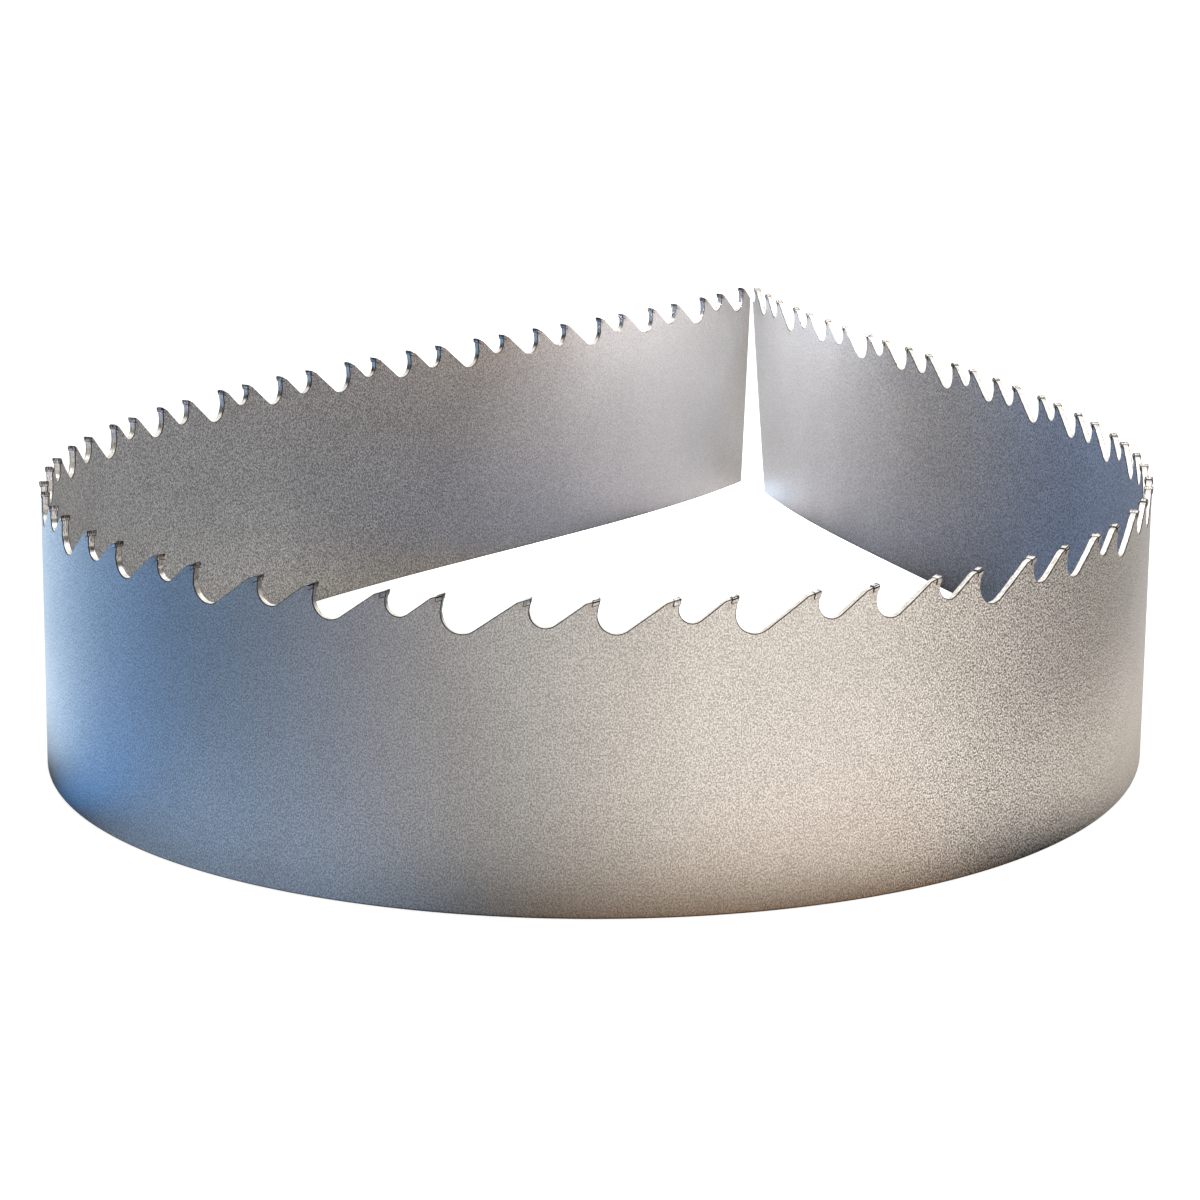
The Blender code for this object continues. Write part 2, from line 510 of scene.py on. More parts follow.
class Nodes:
    """Node tree of a material, a world or a group, filled by short calls."""

    def __init__(self, tree: bpy.types.NodeTree) -> None:
        """Take the tree to fill."""
        self.tree = tree

    def add(self, kind: str, *values: object, **settings: object) -> bpy.types.Node:
        """Add a node, set its properties and feed its inputs.

        Args:
            kind: The node's type, without its ShaderNode beginning.
            values: Sockets or values for the inputs that it then has, in their order.
            settings: Its properties by name.

        Returns:
            The new node.
        """
        node = self.tree.nodes.new(f"ShaderNode{kind}")
        for name, value in settings.items():
            setattr(node, name, value)
        for socket, value in zip((socket for socket in node.inputs if socket.enabled), values):
            self.feed(socket, value)
        return node

    def feed(self, socket: Socket, value: object) -> None:
        """Link another node's output to a socket, or set the socket's own value.

        Args:
            socket: The socket to feed.
            value: The output, or the value.
        """
        if isinstance(value, Socket):
            self.tree.links.new(value, socket)
        elif socket.type == "RGBA":
            socket.default_value = (*value, 1.0)
        else:
            socket.default_value = value

    def math(self, operation: str, *values: object) -> Socket:
        """Result of a Math node that does this with sockets or numbers."""
        return self.add("Math", *values, operation=operation).outputs[0]

    def vector(self, operation: str, *values: object) -> Socket:
        """Result of a Vector Math node that does this with sockets or triples."""
        node = self.add("VectorMath", *values, operation=operation)
        return node.outputs["Value" if operation in ("DOT_PRODUCT", "LENGTH") else "Vector"]

    def scale(self, vector: object, factor: object) -> Socket:
        """A vector or a colour times a number."""
        return self.add("VectorMath", vector, factor, operation="SCALE").outputs[0]

    def ramp(self, value: object, first: float, last: float, low: object = 0.0, high: object = 1.0) -> Socket:
        """Turn values between first and last smoothly into values between low and high."""
        node = self.add("MapRange", value, first, last, low, high, interpolation_type="SMOOTHSTEP")
        return node.outputs[0]

    def blend(self, share: object, first: object, second: object) -> Socket:
        """Blend two colours, with this share of the second."""
        return self.add("Mix", share, first, second, data_type="RGBA").outputs[2]

    def noise(self, place: object, size: float, detail: float, roughness: float) -> Socket:
        """Soft random patches of this size, with so many finer layers of this strength."""
        return self.add("TexNoise", place, 1.0 / size, detail, roughness).outputs["Fac"]


class GroupNodes(Nodes):
    """Node tree of an effect that several finishes share."""

    def __init__(self, name: str, inputs: Sequence[str], outputs: Sequence[str]) -> None:
        """Start the group, whose first input is a place.

        Args:
            name: The group's name.
            inputs: The names of its inputs after Place, each a number.
            outputs: The names of its outputs, each a number.
        """
        super().__init__(bpy.data.node_groups.new(name, "ShaderNodeTree"))
        self.tree.interface.new_socket("Place", in_out="INPUT", socket_type="NodeSocketVector")
        for in_out, sockets in (("INPUT", inputs), ("OUTPUT", outputs)):
            for socket in sockets:
                self.tree.interface.new_socket(socket, in_out=in_out, socket_type="NodeSocketFloat")
        self.source = self.tree.nodes.new("NodeGroupInput").outputs
        self.result = self.tree.nodes.new("NodeGroupOutput").inputs

    def sized_place(self) -> Socket:
        """The Place input, counted in the Size input."""
        return self.scale(self.source["Place"], self.math("DIVIDE", 1.0, self.source["Size"]))


class MetalNodes(Nodes):
    """Node tree of a metal finish that reads the flat blade's places."""

    def __init__(self, name: str) -> None:
        """Start the finish.

        Args:
            name: The material's name.
        """
        self.material = bpy.data.materials.new(name)
        self.material.use_nodes = True
        super().__init__(self.material.node_tree)
        self.shader = self.tree.nodes["Principled BSDF"]
        self.shader.inputs["Metallic"].default_value = 1.0
        self.place = self.add("Attribute", attribute_name=FLAT_PLACE).outputs["Vector"]

    @cached_property
    def axes(self) -> bpy.types.NodeOutputs:
        """The places along the strip, across its thickness and up its width."""
        return self.add("SeparateXYZ", self.place).outputs

    def effect(self, group: bpy.types.NodeTree, **inputs: object) -> bpy.types.NodeOutputs:
        """Place a shared effect that reads the flat blade's places.

        Args:
            group: The effect's group.
            inputs: What its other inputs take, by name.

        Returns:
            The effect's outputs.
        """
        node = self.add("Group", node_tree=group)
        self.feed(node.inputs["Place"], self.place)
        for socket, value in inputs.items():
            self.feed(node.inputs[socket], value)
        return node.outputs

    def dress(self, color: object, roughness: object, height: object, depth: float) -> Material:
        """Give the shader its colour, roughness and relief.

        Args:
            color: The colour's socket.
            roughness: The roughness's socket.
            height: The relief's socket.
            depth: How deep the relief is.

        Returns:
            The finished material.
        """
        self.feed(self.shader.inputs["Base Color"], color)
        self.feed(self.shader.inputs["Roughness"], roughness)
        bump = self.add("Bump")
        bump.inputs["Distance"].default_value = depth
        self.feed(bump.inputs["Height"], height)
        self.feed(self.shader.inputs["Normal"], bump.outputs[0])
        return self.material


@dataclass(frozen=True)
class Effects:
    """The effects that the finishes share, each built once as a node group."""

    spacing: ToothSpacing
    profile: ToothProfile
    cloud_size: float = 30.0 * MM
    pit_spacing: float = 2.2 * MM
    wobble_size: float = 1.2 * MM
    longest_reach: float = 4.0 * MM

    @cached_property
    def rolled_grain(self) -> bpy.types.NodeTree:
        """The fine, even grain of hardened strip, with its pits and soft clouds.

        Returns:
            The group's tree.
        """
        nodes = GroupNodes("rolled_grain", ("Size",), ("Grain", "Cloud", "Pits"))
        place = nodes.source["Place"]
        stretched = nodes.vector("MULTIPLY", nodes.sized_place(), (1.0, 1.0, 0.75))
        nodes.feed(nodes.result["Grain"], nodes.ramp(nodes.noise(stretched, 1.0, 1.0, 0.5), 0.3, 0.7))
        nodes.feed(nodes.result["Cloud"], nodes.ramp(nodes.noise(place, self.cloud_size, 3.0, 0.5), 0.3, 0.7))
        cells = nodes.add("TexVoronoi", place, 1.0 / self.pit_spacing)
        chance = nodes.add("SeparateColor", cells.outputs["Color"]).outputs[0]
        reach = nodes.math("MULTIPLY_ADD", chance, 0.16, -0.09)
        spot = nodes.math("SUBTRACT", reach, cells.outputs["Distance"])
        nodes.feed(nodes.result["Pits"], nodes.ramp(spot, 0.0, 0.02))
        return nodes.tree

    @cached_property
    def grinding_marks(self) -> bpy.types.NodeTree:
        """Fine lines round a ground face, with the stains and spots between them; the stain mask also places
        the carbide's painted glints.

        Returns:
            The group's tree.
        """
        nodes = GroupNodes("grinding_marks", ("Size",), ("Marks", "StainsAndGlints", "Spots"))
        place = nodes.sized_place()
        for socket, along, across, low, high in (
            ("Marks", 0.22, 1.0, 0.3, 0.7),
            ("StainsAndGlints", 0.25, 0.4, 0.5, 0.68),
            ("Spots", 0.55, 0.8, 0.62, 0.74),
        ):
            stretched = nodes.vector("MULTIPLY", place, (along, across, along))
            nodes.feed(nodes.result[socket], nodes.ramp(nodes.noise(stretched, 1.0, 2.0, 0.6), low, high))
        return nodes.tree

    @cached_property
    def tip_patch(self) -> bpy.types.NodeTree:
        """A ragged patch at the same place behind and below every tip.

        Returns:
            The group's tree.
        """
        nodes = GroupNodes("tip_patch", ("Back", "Drop", "Reach"), ("Patch",))
        spacing, ahead = self.spacing, self.longest_reach
        place = nodes.add("SeparateXYZ", nodes.source["Place"]).outputs
        shifted = nodes.math("SUBTRACT", place[0], spacing.start_land - ahead)
        along = nodes.math("FLOORED_MODULO", shifted, spacing.period)
        along = nodes.math("ADD", along, nodes.source["Back"])
        below_top = nodes.math("SUBTRACT", place[2], self.profile.top)
        drop = nodes.math("ADD", below_top, nodes.source["Drop"])
        nearest: object = 1.0
        for index in range(len(spacing.pitches)):
            offset = nodes.math("SUBTRACT", along, spacing.tip(index) - spacing.start_land + ahead)
            squares = nodes.math("ADD", nodes.math("POWER", offset, 2.0), nodes.math("POWER", drop, 2.0))
            nearest = nodes.math("MINIMUM", nearest, nodes.math("SQRT", squares))
        wobble = nodes.noise(nodes.source["Place"], self.wobble_size, 2.0, 0.5)
        reach = nodes.math("MULTIPLY", nodes.source["Reach"], nodes.math("ADD", wobble, 0.5))
        nodes.feed(nodes.result["Patch"], nodes.ramp(nodes.math("DIVIDE", nearest, reach), 1.1, 0.5))
        return nodes.tree


@dataclass(frozen=True)
class SatinSteel:
    """Hardened spring steel with the fine, even grain of its rolls.

    The grain is strongest round one place of the outer side, where its raised contrast is a painted
    glint, and dies away towards the cut ends. The inner side of one arm is tinted blue as a painted
    reflection of the blue surround.
    """

    effects: Effects
    tone: Color = (0.60, 0.595, 0.585)
    cloud_contrast: float = 0.03
    pit_tone: float = 0.5
    pit_roughness: float = 0.2
    heat_color: Color = (0.50, 0.40, 0.34)
    heat_share: float = 0.35
    painted_reflection_color: Color = (0.29, 0.39, 0.57)
    painted_reflection_share: float = 0.85
    painted_reflection_middle: float = 835.0 * MM
    painted_reflection_core: float = 54.0 * MM
    painted_reflection_reach: float = 180.0 * MM
    roughness: tuple[float, float] = (0.52, 0.45)
    outer_grain: float = 0.28 * MM
    inner_grain: float = 0.36 * MM
    grain_depth: float = 0.006 * MM
    contrast_range: tuple[float, float] = (0.65, 2.0)
    inner_limit: float = 0.7
    inner_gain: float = 1.7
    painted_glint_middle: float = 712.0 * MM
    painted_glint_reach: float = 65.0 * MM
    end_contrast: float = 0.25
    end_core: float = 20.0 * MM
    end_reach: float = 220.0 * MM

    def contrast(self, nodes: MetalNodes, inside: Socket) -> Socket:
        """How strong the grain is at each place, raised as a painted glint round one place of the outer side.

        Args:
            nodes: The finish's nodes.
            inside: The socket that is one on the loop's inner side and zero on its outer side.

        Returns:
            The contrast's socket.
        """
        # Painted glint: the grain's colour contrast is raised round one place of the outer side, standing in
        # for the sparkle of a strong light there; the lower contrast elsewhere is the steel's own grain.
        offset = nodes.math("ABSOLUTE", nodes.math("SUBTRACT", nodes.axes[0], self.painted_glint_middle))
        outer = nodes.ramp(offset, self.painted_glint_reach, 0.0, *self.contrast_range)
        inner = nodes.math("MULTIPLY", nodes.math("MINIMUM", outer, self.inner_limit), self.inner_gain)
        contrast = nodes.ramp(inside, 0.0, 1.0, outer, inner)
        to_end = nodes.math("SUBTRACT", self.effects.spacing.length, nodes.axes[0])
        to_end = nodes.math("MINIMUM", to_end, nodes.axes[0])
        fading = nodes.ramp(to_end, self.end_core, self.end_reach, self.end_contrast, 1.0)
        return nodes.math("MULTIPLY", contrast, fading)

    def make(self) -> Material:
        """Build the finish.

        Returns:
            The finished material.
        """
        nodes = MetalNodes("satin_spring_steel")
        inside = nodes.math("GREATER_THAN", nodes.axes[1], 0.0)
        size = nodes.ramp(inside, 0.0, 1.0, self.outer_grain, self.inner_grain)
        rolled = nodes.effect(self.effects.rolled_grain, Size=size)
        heat = nodes.effect(self.effects.tip_patch, Back=2.0 * MM, Drop=2.0 * MM, Reach=1.1 * MM)["Patch"]
        grain = nodes.math("SUBTRACT", rolled["Grain"], 0.5)
        fine = nodes.math("MULTIPLY_ADD", grain, self.contrast(nodes, inside), 1.0)
        wide = nodes.ramp(rolled["Cloud"], 0.0, 1.0, 1.0 - self.cloud_contrast, 1.0 + self.cloud_contrast)
        pitted = nodes.ramp(rolled["Pits"], 0.0, 1.0, 1.0, self.pit_tone)
        tone = nodes.math("MULTIPLY", nodes.math("MULTIPLY", fine, wide), pitted)
        heated = nodes.math("MULTIPLY", heat, self.heat_share)
        color = nodes.blend(heated, nodes.scale(self.tone, tone), self.heat_color)
        # Painted reflection: the inner side of one arm is blended towards blue, standing in for the blue
        # surround that it reflects.
        offset = nodes.math("ABSOLUTE", nodes.math("SUBTRACT", nodes.axes[0], self.painted_reflection_middle))
        painted_reflection_mask = nodes.ramp(offset, self.painted_reflection_reach, self.painted_reflection_core, 0.0, self.painted_reflection_share)
        color = nodes.blend(nodes.math("MULTIPLY", inside, painted_reflection_mask), color, nodes.scale(self.painted_reflection_color, tone))
        rough = nodes.ramp(rolled["Grain"], 0.0, 1.0, *self.roughness)
        rough = nodes.math("MULTIPLY_ADD", rolled["Pits"], self.pit_roughness, rough)
        height = nodes.math("SUBTRACT", rolled["Grain"], rolled["Pits"])
        return nodes.dress(color, rough, height, self.grain_depth)


@dataclass(frozen=True)
class GroundSteel:
    """Bright steel of the gullets and lands, with stains of oil and heat and painted shade as a dark line at
    its rims.
    """

    effects: Effects
    tone: Color = (0.95, 0.94, 0.92)
    mark_contrast: tuple[float, float] = (0.8, 1.15)
    stain: Color = (0.44, 0.32, 0.22)
    stain_share: float = 0.45
    spot: Color = (0.12, 0.10, 0.09)
    spot_and_rim_shade_share: float = 0.7
    roughness: tuple[float, float] = (0.32, 0.19)
    mark_size: float = 0.3 * MM
    mark_depth: float = 0.035 * MM
    rim_shade_start: float = 0.54 * MM
    rim_shade_end: float = 0.66 * MM
    rim_shade_heights: tuple[float, float] = (65.2 * MM, 64.4 * MM)

    def make(self) -> Material:
        """Build the finish.

        Returns:
            The finished material.
        """
        nodes = MetalNodes("ground_gullet_steel")
        ground = nodes.effect(self.effects.grinding_marks, Size=self.mark_size)
        color = nodes.scale(self.tone, nodes.ramp(ground["Marks"], 0.0, 1.0, *self.mark_contrast))
        color = nodes.blend(nodes.math("MULTIPLY", ground["StainsAndGlints"], self.stain_share), color, self.stain)
        # Painted shade: a dark line along the rims of the ground faces near the teeth, in the same dark
        # colour as the real spots.
        rim_shade = nodes.ramp(nodes.math("ABSOLUTE", nodes.axes[1]), self.rim_shade_start, self.rim_shade_end)
        rim_shade = nodes.math("MULTIPLY", rim_shade, nodes.ramp(nodes.axes[2], *self.rim_shade_heights))
        spots_and_rim_shade = nodes.math("MULTIPLY", nodes.math("MAXIMUM", ground["Spots"], rim_shade), self.spot_and_rim_shade_share)
        color = nodes.blend(spots_and_rim_shade, color, self.spot)
        rough = nodes.ramp(ground["Marks"], 0.0, 1.0, *self.roughness)
        return nodes.dress(color, rough, ground["Marks"], self.mark_depth)


@dataclass(frozen=True)
class PaintedShadeEdge:
    """An edge painted dark as shade, with the marks or grain of its texture varying its tone."""

    name: str
    texture: bpy.types.NodeTree
    output: str
    tone: Color
    contrast: tuple[float, float]
    roughness: tuple[float, float]
    mark_size: float = 0.4 * MM
    mark_depth: float = 0.02 * MM

    def make(self) -> Material:
        """Build the finish.

        Returns:
            The finished material.
        """
        nodes = MetalNodes(self.name)
        marks = nodes.effect(self.texture, Size=self.mark_size)[self.output]
        color = nodes.scale(self.tone, nodes.ramp(marks, 0.0, 1.0, *self.contrast))
        return nodes.dress(color, nodes.ramp(marks, 0.0, 1.0, *self.roughness), marks, self.mark_depth)


@dataclass(frozen=True)
class CutEnd:
    """The end face that the cut-off wheel leaves, with its straight lines."""

    effects: Effects
    tone: Color = (0.46, 0.45, 0.44)
    mark_contrast: tuple[float, float] = (0.7, 1.1)
    grain_contrast: float = 0.2
    roughness: tuple[float, float] = (0.45, 0.32)
    mark_size: float = 0.25 * MM
    mark_depth: float = 0.04 * MM

    def make(self) -> Material:
        """Build the finish.

        Returns:
            The finished material.
        """
        nodes = MetalNodes("cut_end")
        marks = nodes.effect(self.effects.grinding_marks, Size=self.mark_size)["Marks"]
        grain = nodes.effect(self.effects.rolled_grain, Size=self.mark_size)["Grain"]
        lines = nodes.ramp(marks, 0.0, 1.0, *self.mark_contrast)
        tone = nodes.math("MULTIPLY_ADD", grain, self.grain_contrast, lines)
        rough = nodes.ramp(marks, 0.0, 1.0, *self.roughness)
        return nodes.dress(nodes.scale(self.tone, tone), rough, marks, self.mark_depth)


@dataclass(frozen=True)
class Carbide:
    """Ground face of a tip, with lighter patches as painted glints and painted shade at its cutting corner.
    """

    effects: Effects
    name: str
    tone: Color
    glint: Color
    roughness: tuple[float, float]
    mark_contrast: tuple[float, float] = (0.7, 1.5)
    mark_size: float = 0.28 * MM
    mark_depth: float = 0.05 * MM
    corner: Color = (0.03, 0.03, 0.03)
    corner_shade_shares: tuple[float, float] = (0.95, 0.3)

    def make(self) -> Material:
        """Build the finish.

        Returns:
            The finished material.
        """
        nodes = MetalNodes(self.name)
        ground = nodes.effect(self.effects.grinding_marks, Size=self.mark_size)
        # Painted shade: a near-black patch at the upper front corner, standing in for the dark of the rake
        # face seen edge-on.
        corner_shade_mask = nodes.effect(self.effects.tip_patch, Back=0.1 * MM, Drop=0.35 * MM, Reach=0.6 * MM)["Patch"]
        color = nodes.scale(self.tone, nodes.ramp(ground["Marks"], 0.0, 1.0, *self.mark_contrast))
        # Painted glint: random patches blended to near white stand in for highlights on the carbide.
        color = nodes.blend(ground["StainsAndGlints"], color, self.glint)
        corner_shade_share = nodes.math("MULTIPLY", corner_shade_mask, nodes.ramp(ground["Marks"], 0.3, 0.7, *self.corner_shade_shares))
        color = nodes.blend(corner_shade_share, color, self.corner)
        rough = nodes.ramp(ground["Marks"], 0.0, 1.0, *self.roughness)
        return nodes.dress(color, rough, ground["Marks"], self.mark_depth)


@dataclass
class ToothedBand:
    """The steel strip with its teeth and gullets."""

    spacing: ToothSpacing
    profile: ToothProfile
    guide: LoopGuide
    effects: Effects
    end_slant: float = 18.0 * MM
    columns: int = 30
    rows: tuple[float, ...] = (1.0 * MM, 20.0 * MM, 40.0 * MM, 57.0 * MM)
    arc_steps: int = 14
    run_out_steps: int = 6
    edge_break: float = 0.18 * MM
    back_round: float = 0.35 * MM

    def draw_group(self) -> Piece:
        """Draw and fill one group of teeth, down to the back edge.

        Returns:
            The flat sheet.
        """
        profile, spacing = self.profile, self.spacing
        start = profile.slope_middle(spacing.tip(-1), spacing.pitch(-1))
        pen = Outline("toothed_steel_band", start)
        for index in range(len(spacing.pitches)):
            tip, pitch = spacing.tip(index), spacing.pitch(index)
            center, radius, slope = profile.gullet(tip, pitch)
            pen.line(profile.land_start(tip))
            pen.line(profile.apex(tip))
            pen.line(center - radius * Vector((math.cos(profile.rake), -math.sin(profile.rake))))
            pen.arc(center, 90.0 + math.degrees(profile.rake), self.arc_steps)
            pen.arc(center, math.degrees(slope), self.run_out_steps)
        end = start + Vector((spacing.period, 0.0))
        pen.line(end)
        pen.line(Vector((end.x, 0.0)))
        pen.line(Vector((start.x, 0.0)))
        return pen.fill()

    def thicken(self, group: Piece) -> None:
        """Give the group its thickness and finishes, break its edges and leave its two sides open.

        Args:
            group: The flat sheet.
        """
        apply_modifier(group, "SOLIDIFY", thickness=self.profile.thickness, offset=0.0)
        left = min(vert.co.x for vert in group.data.vertices)
        right = max(vert.co.x for vert in group.data.vertices)

        def on_side(middle: Vector) -> bool:
            """Whether a place is on one of the two open sides."""
            return min(middle.x - left, right - middle.x) < SNAP

        with editing(group):
            give_finish(group, BandFace.GROUND, lambda middle, way: abs(way.y) < 0.5)
            give_finish(group, BandFace.BACK_EDGE, lambda middle, way: way.z < -0.5 and middle.z < SNAP)
            select_where(
                group,
                Element.EDGE,
                lambda middle, way: abs(way.y) < 0.5 and middle.z > 1.0 * MM and not on_side(middle),
            )
            bpy.ops.mesh.bevel(
                offset=self.edge_break, segments=1, clamp_overlap=False, material=BandFace.BROKEN_EDGE
            )
            select_where(group, Element.EDGE, lambda middle, way: abs(way.x) > 0.5 and middle.z < SNAP)
            bpy.ops.mesh.bevel(
                offset=self.back_round, segments=4, clamp_overlap=False, material=BandFace.BACK_EDGE
            )
            select_where(group, Element.FACE, lambda middle, way: abs(way.x) > 0.999 and on_side(middle))
            bpy.ops.mesh.delete(type="FACE")

    def divide(self, group: Piece) -> None:
        """Cut lines across and along the group, so that it can take its bend.

        Args:
            group: The group of teeth.
        """
        left = min(vert.co.x for vert in group.data.vertices)
        with editing(group):
            for column in range(1, self.columns):
                bpy.ops.mesh.select_all(action="SELECT")
                place = left + self.spacing.period * column / self.columns
                bpy.ops.mesh.bisect(plane_co=(place, 0.0, 0.0), plane_no=(1.0, 0.0, 0.0), threshold=SNAP)
            for row in self.rows:
                bpy.ops.mesh.select_all(action="SELECT")
                bpy.ops.mesh.bisect(plane_co=(0.0, 0.0, row), plane_no=(0.0, 0.0, 1.0), threshold=SNAP)

    def cut(self, band: Piece, foot: float, way: Vector) -> None:
        """In edit mode, cut off what lies outside an end plane, and close the cut.

        Args:
            band: The flat band.
            foot: Where the plane meets the toothed edge.
            way: The plane's outward direction, at length one.
        """
        corner = Vector((foot, 0.0, self.profile.top))
        bpy.ops.mesh.select_mode(type="FACE")
        bpy.ops.mesh.select_all(action="SELECT")
        bpy.ops.mesh.bisect(plane_co=corner, plane_no=way, use_fill=True, clear_outer=True, threshold=SNAP)
        give_finish(
            band,
            BandFace.CUT_END,
            lambda middle, normal: normal.dot(way) > 0.999 and abs((middle - corner).dot(way)) < SNAP,
        )

    def repeat(self, group: Piece) -> None:
        """Repeat the group along the strip and cut the strip to length.

        Args:
            group: The group of teeth.
        """
        group.location.x -= self.spacing.period
        settle(group)
        apply_modifier(
            group,
            "ARRAY",
            count=math.ceil(self.spacing.count / len(self.spacing.pitches)) + 2,
            use_relative_offset=False,
            use_constant_offset=True,
            constant_offset_displace=(self.spacing.period, 0.0, 0.0),
            use_merge_vertices=True,
            merge_threshold=SNAP,
        )
        slanted = Vector((self.profile.top, 0.0, -self.end_slant)).normalized()
        with editing(group):
            self.cut(group, 0.0, Vector((-1.0, 0.0, 0.0)))
            self.cut(group, self.spacing.length, slanted)

    def model(self) -> Piece:
        """Model the strip and bend it into its loop.

        Returns:
            The finished band.
        """
        effects = self.effects
        marks, grain = effects.grinding_marks, effects.rolled_grain
        band = self.draw_group()
        for finish in (
            SatinSteel(effects),
            GroundSteel(effects),
            # Painted shade: the broken edges are near black to draw dark outlines, and the rounded back edge
            # is darkened as a painted shadow where it meets the floor.
            PaintedShadeEdge("broken_edge_painted_shade", marks, "Marks", (0.045, 0.043, 0.042), (0.6, 1.6), (0.5, 0.35)),
            PaintedShadeEdge("back_edge_painted_shadow", grain, "Grain", (0.24, 0.235, 0.23), (0.8, 1.2), (0.45, 0.35)),
            CutEnd(effects),
        ):
            band.data.materials.append(finish.make())
        self.thicken(band)
        self.divide(band)
        self.repeat(band)
        self.guide.bend(band)
        smooth(band, 30.0)
        return band


@dataclass
class CarbideTips:
    """The tips, each a ground block of carbide on the front of its tooth."""

    spacing: ToothSpacing
    profile: ToothProfile
    guide: LoopGuide
    effects: Effects
    length: float = 1.6 * MM
    height: float = 1.4 * MM
    overhang: float = 0.375 * MM
    radial_clearance: float = math.radians(5.0)
    tangential_clearance: float = math.radians(4.0)
    chamfer: float = 0.35 * MM
    edge_break: float = 0.18 * MM

    def model_tip(self, form: TipForm, finishes: Sequence[Material]) -> Piece:
        """Model one tip with the top of its front edge at X = 0.

        Args:
            form: The tip's form.
            finishes: Its finishes, in the order of TipFace.

        Returns:
            The tip.
        """
        width = self.profile.thickness + 2.0 * self.overhang
        top = self.profile.top - (self.profile.flat_drop if form is TipForm.FLAT else 0.0)
        middle = top - self.height / 2
        bpy.ops.object.select_all(action="DESELECT")
        bpy.ops.mesh.primitive_cube_add(
            size=1.0, location=(-self.length / 2, 0.0, middle), scale=(self.length, width, self.height)
        )
        tip = bpy.context.active_object
        tip.name = f"{form.value}_tip"
        for finish in finishes:
            tip.data.materials.append(finish)
        settle(tip)
        lower = 1.0 - 2.0 * self.height * math.tan(self.radial_clearance) / width
        rear = 1.0 - 2.0 * self.length * math.tan(self.tangential_clearance) / width
        with editing(tip):
            select_where(tip, Element.VERTEX, lambda place, _: place.z < middle)
            bpy.ops.transform.resize(value=(1.0, lower, 1.0), center_override=(0.0, 0.0, 0.0))
            bpy.ops.transform.translate(value=(-self.height * math.tan(self.profile.rake), 0.0, 0.0))
            select_where(tip, Element.VERTEX, lambda place, _: place.x < -self.length * 0.9)
            bpy.ops.transform.resize(value=(1.0, rear, 1.0), center_override=(0.0, 0.0, 0.0))
            bpy.ops.transform.translate(value=(0.0, 0.0, -self.length * math.tan(self.profile.relief)))
            if form is TipForm.CHAMFERED:
                select_where(tip, Element.EDGE, lambda place, way: abs(way.x) > 0.5 and place.z > middle)
                bpy.ops.mesh.bevel(offset=self.chamfer, segments=1)
            give_finish(tip, TipFace.FRONT, lambda _, way: abs(way.x) > 0.7)
            give_finish(tip, TipFace.SIDE, lambda _, way: abs(way.y) > 0.9)
        # The tips' broken edges take the dark finish, painted shade that outlines each tip.
        apply_modifier(
            tip,
            "BEVEL",
            width=self.edge_break,
            segments=1,
            limit_method="ANGLE",
            material=TipFace.BROKEN_EDGE,
        )
        return tip

    def model(self) -> Piece:
        """Model the tips, set them on the teeth and bend them along with the strip.

        Returns:
            The tips as one object.
        """
        white, dull = (0.95, 0.95, 0.95), (0.66, 0.65, 0.63)
        # Lit and shaded copies of one carbide: the top is painted light and the front painted darker, as
        # light falls on them, with the side in between.
        finishes = [
            Carbide(self.effects, "carbide_top", (0.80, 0.80, 0.80), white, (0.26, 0.14)).make(),
            bpy.data.materials["broken_edge_painted_shade"],
            Carbide(self.effects, "carbide_front", (0.42, 0.38, 0.35), white, (0.30, 0.18)).make(),
            Carbide(self.effects, "carbide_side", (0.50, 0.49, 0.48), dull, (0.48, 0.36)).make(),
        ]
        forms = [self.model_tip(form, finishes) for form in TipForm]
        copies = []
        for index in range(self.spacing.count):
            tip = copy_of(forms[index % len(forms)])
            tip.location.x = self.spacing.tip(index)
            copies.append(tip)
        for tip in forms:
            bpy.data.objects.remove(tip, do_unlink=True)
        tips = join_all(copies, "carbide_tips")
        self.guide.bend(tips)
        return tips


@dataclass(frozen=True)
class SoftPanel:
    """A soft-edged panel of the studio's surround.

    Its azimuth is counted from +Y towards +X. It fades out at its spread to either side, and at its
    lowest and highest elevation. All are in degrees.
    """

    azimuth: float
    color: Color
    spread: float = 50.0
    low: float = -90.0
    high: float = 6.0
    softness: float = 12.0

    def mask(self, nodes: Nodes, level: object, rise: object) -> Socket:
        """How much of the panel stands in a direction.

        Args:
            nodes: The surround's nodes.
            level: The direction's level part, at length one.
            rise: The sine of its elevation.

        Returns:
            The mask's socket.
        """
        turn = math.radians(self.azimuth)
        facing = nodes.vector("DOT_PRODUCT", level, (math.sin(turn), math.cos(turn), 0.0))
        mask = nodes.ramp(facing, math.cos(math.radians(self.spread)), 1.0) if self.spread < 180.0 else 1.0
        for edge, soft in ((self.low, self.softness), (self.high, -self.softness)):
            angles = (math.radians(max(min(end, 90.0), -90.0)) for end in (edge - soft, edge + soft))
            mask = nodes.math("MULTIPLY", mask, nodes.ramp(rise, *(math.sin(angle) for angle in angles)))
        return mask


@dataclass(frozen=True)
class FloorGlow:
    """A soft-edged oval of the floor, as the blade's metal sees it."""

    center: tuple[float, float]
    reach: tuple[float, float]
    core: float
    color: Color

    def mask(self, nodes: Nodes, place: object) -> Socket:
        """How much of the oval is at a place of the floor.

        Args:
            nodes: The floor's nodes.
            place: The place.

        Returns:
            The mask's socket.
        """
        offset = nodes.vector("SUBTRACT", place, (*self.center, 0.0))
        scaled = nodes.vector("DIVIDE", offset, (*self.reach, 1.0))
        return nodes.ramp(nodes.vector("LENGTH", scaled), 1.0, self.core)


@dataclass(frozen=True)
class StudioLamp:
    """A square lamp that the camera itself doesn't see."""

    name: str
    place: tuple[float, float, float]
    aim: tuple[float, float, float]
    size: float
    power: float
    color: Color = WHITE
    beam: float = math.pi


